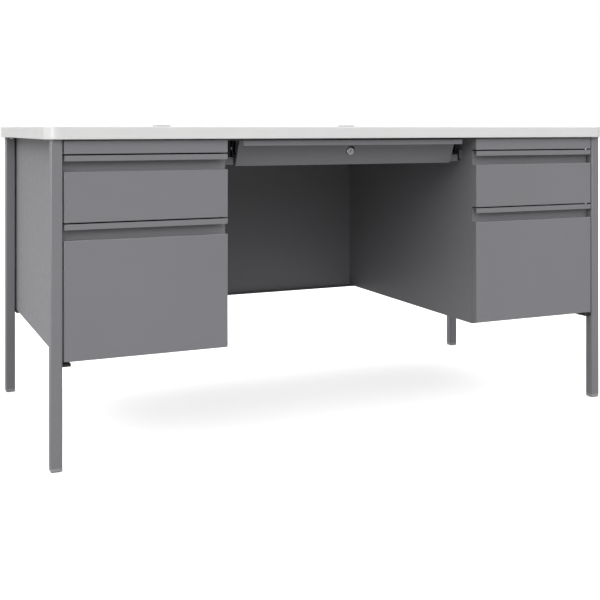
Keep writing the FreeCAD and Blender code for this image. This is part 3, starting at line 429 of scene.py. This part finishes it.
def stand_in(shape, name, sharp=38):
    """Makes the mesh an object that takes the node's place, its body and its finish."""
    bmesh.ops.recalc_face_normals(shape, faces=shape.faces)
    mesh = bpy.data.meshes.new(name + "_piece")
    shape.to_mesh(mesh)
    shape.free()
    mesh.shade_smooth()
    mesh.set_sharp_from_angle(angle=math.radians(sharp))
    made = bpy.data.objects.new(name + "_piece", mesh)
    bpy.context.scene.collection.objects.link(made)
    wear(made, finish_of_slot[slot_of_node[name]])
    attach(made, body_of(nodes[name])[0])
    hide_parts(name)
    return made


print("solids in worktop_screws:", len(solids_of("worktop_screws")))

# %% [markdown]
# ### Drawer bodies
#
# The side of each drawer is one sheet that goes up, rolls over at the rim and comes back down
# inside.  That double edge keeps the side stiff, and its round top is what a hand meets.

# %% Hemmed walls
HEM = 9 * MM
ROUND_STEPS = 8


def hemmed_section(foot, rim, sheet):
    """Section of a wall as (inward, up) points, with the rim rolled over."""
    roll = 1.1 * sheet
    points = [(0.0, foot), (0.0, rim - roll)]
    for step in range(1, ROUND_STEPS):
        angle = math.pi * step / ROUND_STEPS
        points.append((roll - roll * math.cos(angle), rim - roll + roll * math.sin(angle)))
    points += [(2 * roll, rim - roll), (2 * roll, rim - HEM), (sheet, rim - HEM - 0.6 * sheet),
               (sheet, foot)]
    return points


def sweep(shape, section, place, start, stop):
    """Draws a closed section out from start to stop; `place` turns (in, up, along) into a point."""
    face = shape.faces.new([shape.verts.new(place(u, v, start)) for u, v in section])
    moved = bmesh.ops.extrude_face_region(shape, geom=[face])["geom"]
    shift = place(0.0, 0.0, stop) - place(0.0, 0.0, start)
    bmesh.ops.translate(shape, verts=[v for v in moved if isinstance(v, bmesh.types.BMVert)], vec=shift)


def drawer_body(name):
    """Floor, two hemmed sides and two hemmed end walls; the levels are read from the plain tray."""
    points = [point for solid in solids_of(name) for point in solid]
    low, high = extent(points)
    levels = sorted({round(point.z, 5) for point in points if abs(point.x - low.x) < MM / 2})
    floor = levels[1]
    sheet = floor - low.z
    beside = sorted({round(point.z, 5) for point in points
                     if abs(point.x - low.x - sheet) < MM / 10 and abs(point.y - low.y) < MM / 10})
    wall_rim = beside[-2] if len(beside) > 2 else high.z
    width = high.x - low.x
    bend = [(0.4 * sheet, 0.0), (0.15 * sheet, 0.12 * sheet), (0.0, 0.4 * sheet)]
    base = [(u, low.z + v) for u, v in reversed(bend)] + [(width - u, low.z + v) for u, v in bend]
    base += [(width, floor), (0.0, floor)]
    shape = bmesh.new()
    sweep(shape, base, lambda u, v, s: Vector((low.x + u, s, v)), low.y, high.y)
    side = hemmed_section(floor, high.z, sheet)
    sweep(shape, side, lambda u, v, s: Vector((low.x + u, s, v)), low.y, high.y)
    sweep(shape, side, lambda u, v, s: Vector((high.x - u, s, v)), low.y, high.y)
    wall = hemmed_section(floor, wall_rim, sheet)
    sweep(shape, wall, lambda u, v, s: Vector((s, low.y + u, v)), low.x + sheet, high.x - sheet)
    sweep(shape, wall, lambda u, v, s: Vector((s, high.y - u, v)), low.x + sheet, high.x - sheet)
    stand_in(shape, name)
    print(name, "rims in mm:", round(high.z / MM, 1), round(wall_rim / MM, 1))


for name in [name for name in nodes if name.endswith("_tray") and name != "pencil_tray"]:
    drawer_body(name)

# %% [markdown]
# ### Screws
#
# Pan heads with a cross recess.  The place, length and direction of each are read from the plain
# screw that it stands for: the head is at the end where the solid is widest.

# %% Cross-recess screws
HEAD_H = 2.6 * MM
RECESS_R = 2.2 * MM
RECESS_DEEP = 1.3 * MM
RECESS_HALF_WIDE = 0.55 * MM
TURN_STEPS = 32


def turned(shape, half):
    """Spins a half section of (radius, height) points about Z and hands back the new vertices."""
    outline = [shape.verts.new((r, 0.0, h)) for r, h in half]
    chain = [shape.edges.new(pair) for pair in zip(outline, outline[1:])]
    bmesh.ops.spin(shape, geom=outline + chain, cent=(0, 0, 0), axis=(0, 0, 1), angle=math.tau,
                   steps=TURN_STEPS, use_merge=True)
    fresh = [vert for vert in shape.verts if not vert.tag]
    for vert in fresh:
        vert.tag = True
    return fresh


def fasteners(name, add_one, sharp):
    """Builds one fastener for each solid of a node, as a single piece."""
    shape = bmesh.new()
    solids = solids_of(name)
    for points in solids:
        add_one(shape, points)
    bmesh.ops.remove_doubles(shape, verts=shape.verts, dist=0.001 * MM)
    print(name, len(solids), "fasteners")
    return stand_in(shape, name, sharp)


def head_and_shank(length, shank, head):
    """Half section of a screw, from the tip on the axis to the middle of its head."""
    top = length + HEAD_H
    return [(0.0, 0.0), (0.55 * shank, 0.5 * MM), (shank, 2.5 * MM), (shank, length), (head, length),
            (head, length + 0.40 * HEAD_H), (0.94 * head, length + 0.68 * HEAD_H),
            (0.80 * head, length + 0.86 * HEAD_H), (0.62 * head, length + 0.95 * HEAD_H),
            (RECESS_R, top - 0.02 * HEAD_H), (0.75 * RECESS_R, top), (0.5 * RECESS_R, top),
            (0.28 * RECESS_R, top), (0.0, top)]


def add_screw(shape, points):
    """Adds a screw where the points of a plain one are."""
    low, high = extent(points)
    middle = (low + high) / 2
    size = high - low
    axis = max(range(3), key=lambda k: size[k])
    across = [k for k in range(3) if k != axis]
    spans = [math.hypot(*(point[k] - middle[k] for k in across)) for point in points]
    head = max(spans)
    heads = [point[axis] for point, span in zip(points, spans) if span > 0.8 * head]
    upward = 1.0 if sum(heads) / len(heads) > middle[axis] else -1.0
    shank = max(span for point, span in zip(points, spans) if (point[axis] - middle[axis]) * upward < 0.0)
    fresh = turned(shape, head_and_shank(size[axis] - HEAD_H, shank, head))
    for vert in fresh:
        r = math.hypot(vert.co.x, vert.co.y)
        arm = min(abs(vert.co.x), abs(vert.co.y))
        if vert.co.z > size[axis] - 0.1 * HEAD_H and r < 0.9 * RECESS_R and arm < RECESS_HALF_WIDE:
            vert.co.z -= RECESS_DEEP
    direction = Vector([upward if k == axis else 0.0 for k in range(3)])
    tip = middle - direction * size[axis] / 2
    turn = direction.to_track_quat("Z", "Y").to_matrix().to_4x4()
    bmesh.ops.transform(shape, matrix=Matrix.Translation(tip) @ turn, verts=fresh)


for name in ("worktop_screws", "frame_screws", "lock_cam_screw"):
    fasteners(name, add_screw, sharp=30)

# %% [markdown]
# ### Rivets
#
# The centre slides are riveted to their brackets.  A rivet's head is a low dome, and its front
# edge catches the light in the dark gap beside the drawer.

# %% Domed rivets
def add_rivet(shape, points):
    """Adds a rivet whose shank points at the middle of the desk and whose dome points away from it."""
    low, high = extent(points)
    middle = (low + high) / 2
    outward = 1.0 if low.x > 0 else -1.0
    seat, crown = (low.x, high.x) if outward > 0 else (high.x, low.x)
    head = (high.z - low.z) / 2
    heads = [p for p in points if math.hypot(p.y - middle.y, p.z - middle.z) > 0.8 * head]
    under = min(heads, key=lambda p: p.x * outward).x
    shank = abs(under - seat)
    rise = abs(crown - under)
    half = [(0.0, 0.0), (head / 2, 0.0), (head / 2, shank), (head, shank)]
    for step in range(1, ROUND_STEPS + 1):
        angle = math.pi / 2 * step / ROUND_STEPS
        half.append((head * math.cos(angle), shank + rise * math.sin(angle)))
    half[-1] = (0.0, abs(crown - seat))
    fresh = turned(shape, half)
    turn = Vector((outward, 0.0, 0.0)).to_track_quat("Z", "Y").to_matrix().to_4x4()
    place = Matrix.Translation((seat, middle.y, middle.z))
    bmesh.ops.transform(shape, matrix=place @ turn, verts=fresh)


rivets = fasteners("center_slide_rivets", add_rivet, sharp=50)
wear(rivets, zinc_plate("dull_zinc_rivet", metallic=0.25))

# %% [markdown]
# ## Studio
#
# The desk stands in a bright dome: most light comes from high up, some of it level from the left,
# and none from below.  Two sheets lie on the floor.  One is only for the camera and stays white.
# The other is unseen and dull: it throws back a little of the light that reaches it, so the knee
# space, whose floor lies in shade, falls off into the dark.

# %% Two floors
WHITE = (1.0, 1.0, 1.0, 1.0)
FLOOR_HALF_SIZE = 60.0


def floor_sheet(name, height, grey, glow):
    mesh = bpy.data.meshes.new(name)
    shape = bmesh.new()
    bmesh.ops.create_grid(shape, x_segments=1, y_segments=1, size=FLOOR_HALF_SIZE)
    shape.to_mesh(mesh)
    shape.free()
    floor = bpy.data.objects.new(name, mesh)
    floor.location.z = height
    bpy.context.scene.collection.objects.link(floor)
    material, shader = new_finish(name, metallic=0.0, roughness=0.9, specular=0.0)
    shader.inputs["Base Color"].default_value = (grey, grey, grey, 1.0)
    shader.inputs["Emission Color"].default_value = WHITE
    shader.inputs["Emission Strength"].default_value = glow
    wear(floor, material)
    return floor


white_floor = floor_sheet("white_floor", height=0.0, grey=0.80, glow=0.45)
white_floor.visible_diffuse = False
white_floor.visible_glossy = False
dull_floor = floor_sheet("dull_floor", height=-MM, grey=0.40, glow=0.0)
dull_floor.visible_camera = False
print("floors:", white_floor.name, dull_floor.name)


# %% Dome of light
def ramp(tree, value, start, stop, low, high):
    """Carries a value from low to high as it runs from start to stop."""
    made = tree.nodes.new("ShaderNodeMapRange")
    for key, number in (("From Min", start), ("From Max", stop), ("To Min", low), ("To Max", high)):
        made.inputs[key].default_value = number
    tree.links.new(value, made.inputs["Value"])
    return made.outputs["Result"]


def combine(tree, operation, first, second):
    """One sum or product of two outputs."""
    made = tree.nodes.new("ShaderNodeMath")
    made.operation = operation
    tree.links.new(first, made.inputs[0])
    tree.links.new(second, made.inputs[1])
    return made.outputs["Value"]


def dome(above, full_at, left, zenith):
    """Sky strength by direction; the camera itself sees plain white behind the desk."""
    world = bpy.data.worlds.new("studio_dome")
    bpy.context.scene.world = world
    world.use_nodes = True
    tree = world.node_tree
    fill = tree.nodes["Background"]
    fill.inputs["Color"].default_value = WHITE
    split = tree.nodes.new("ShaderNodeSeparateXYZ")
    tree.links.new(tree.nodes.new("ShaderNodeTexCoord").outputs["Generated"], split.inputs["Vector"])
    high = ramp(tree, split.outputs["Z"], 0.06, full_at, 0.0, above)
    dimmed = combine(tree, "MULTIPLY", high, ramp(tree, split.outputs["Z"], 0.70, 0.95, 1.0, zenith))
    leftward = ramp(tree, split.outputs["X"], -0.2, -0.8, 0.0, left)
    level = ramp(tree, split.outputs["Z"], -0.02, 0.02, 0.0, 1.0)
    from_left = combine(tree, "MULTIPLY", leftward, level)
    tree.links.new(combine(tree, "ADD", dimmed, from_left), fill.inputs["Strength"])
    white = tree.nodes.new("ShaderNodeBackground")
    white.inputs["Color"].default_value = WHITE
    chosen = tree.nodes.new("ShaderNodeMixShader")
    tree.links.new(tree.nodes.new("ShaderNodeLightPath").outputs["Is Camera Ray"], chosen.inputs["Fac"])
    tree.links.new(fill.outputs["Background"], chosen.inputs[1])
    tree.links.new(white.outputs["Background"], chosen.inputs[2])
    tree.links.new(chosen.outputs["Shader"], tree.nodes["World Output"].inputs["Surface"])
    return world


print("sky:", dome(above=2.2, full_at=0.46, left=0.66, zenith=0.3).name)


# %% Strip light that only glosses
STRIP_WIDE = 0.7
STRIP_TALL = 2.4
STRIP_WATTS = 60.0
STRIP_AT = Vector((-3.4, -1.9, 1.3))
STRIP_AIM = Vector((-0.7, -0.36, 0.7))


def gloss_strip():
    """A tall soft strip ahead on the left: seen in glossy rounds, it lights nothing else."""
    lamp = bpy.data.lights.new("gloss_strip", "AREA")
    lamp.shape = "RECTANGLE"
    lamp.size = STRIP_WIDE
    lamp.size_y = STRIP_TALL
    lamp.energy = STRIP_WATTS
    strip = bpy.data.objects.new("gloss_strip", lamp)
    bpy.context.scene.collection.objects.link(strip)
    strip.location = STRIP_AT
    strip.rotation_euler = (STRIP_AIM - STRIP_AT).to_track_quat("-Z", "Y").to_euler()
    strip.visible_diffuse = False
    strip.visible_camera = False
    return strip


print("strip light:", gloss_strip().name)

# %% [markdown]
# ## Camera
#
# The camera stands to the left of the middle, level with the worktop's face, and looks straight
# ahead so that the legs stay upright.  The frame is slid down instead of tilting the camera, as an
# architect's lens does.

# %% Camera
CAMERA_AT = (-1.1232, -2.5254, 0.745)
CAMERA_TURN = -24.07
LENS_MM = 59.0
SENSOR_MM = 36.0
FRAME_SLIDE = -0.286

bpy.context.scene.view_settings.view_transform = "Standard"
camera = bpy.data.objects.new("camera", bpy.data.cameras.new("camera"))
bpy.context.scene.collection.objects.link(camera)
camera.location = CAMERA_AT
camera.rotation_euler = (math.radians(90), 0.0, math.radians(CAMERA_TURN))
camera.data.lens = LENS_MM
camera.data.sensor_width = SENSOR_MM
camera.data.shift_y = FRAME_SLIDE
bpy.context.scene.camera = camera
print("camera turned", CAMERA_TURN, "degrees, lens", LENS_MM, "mm")
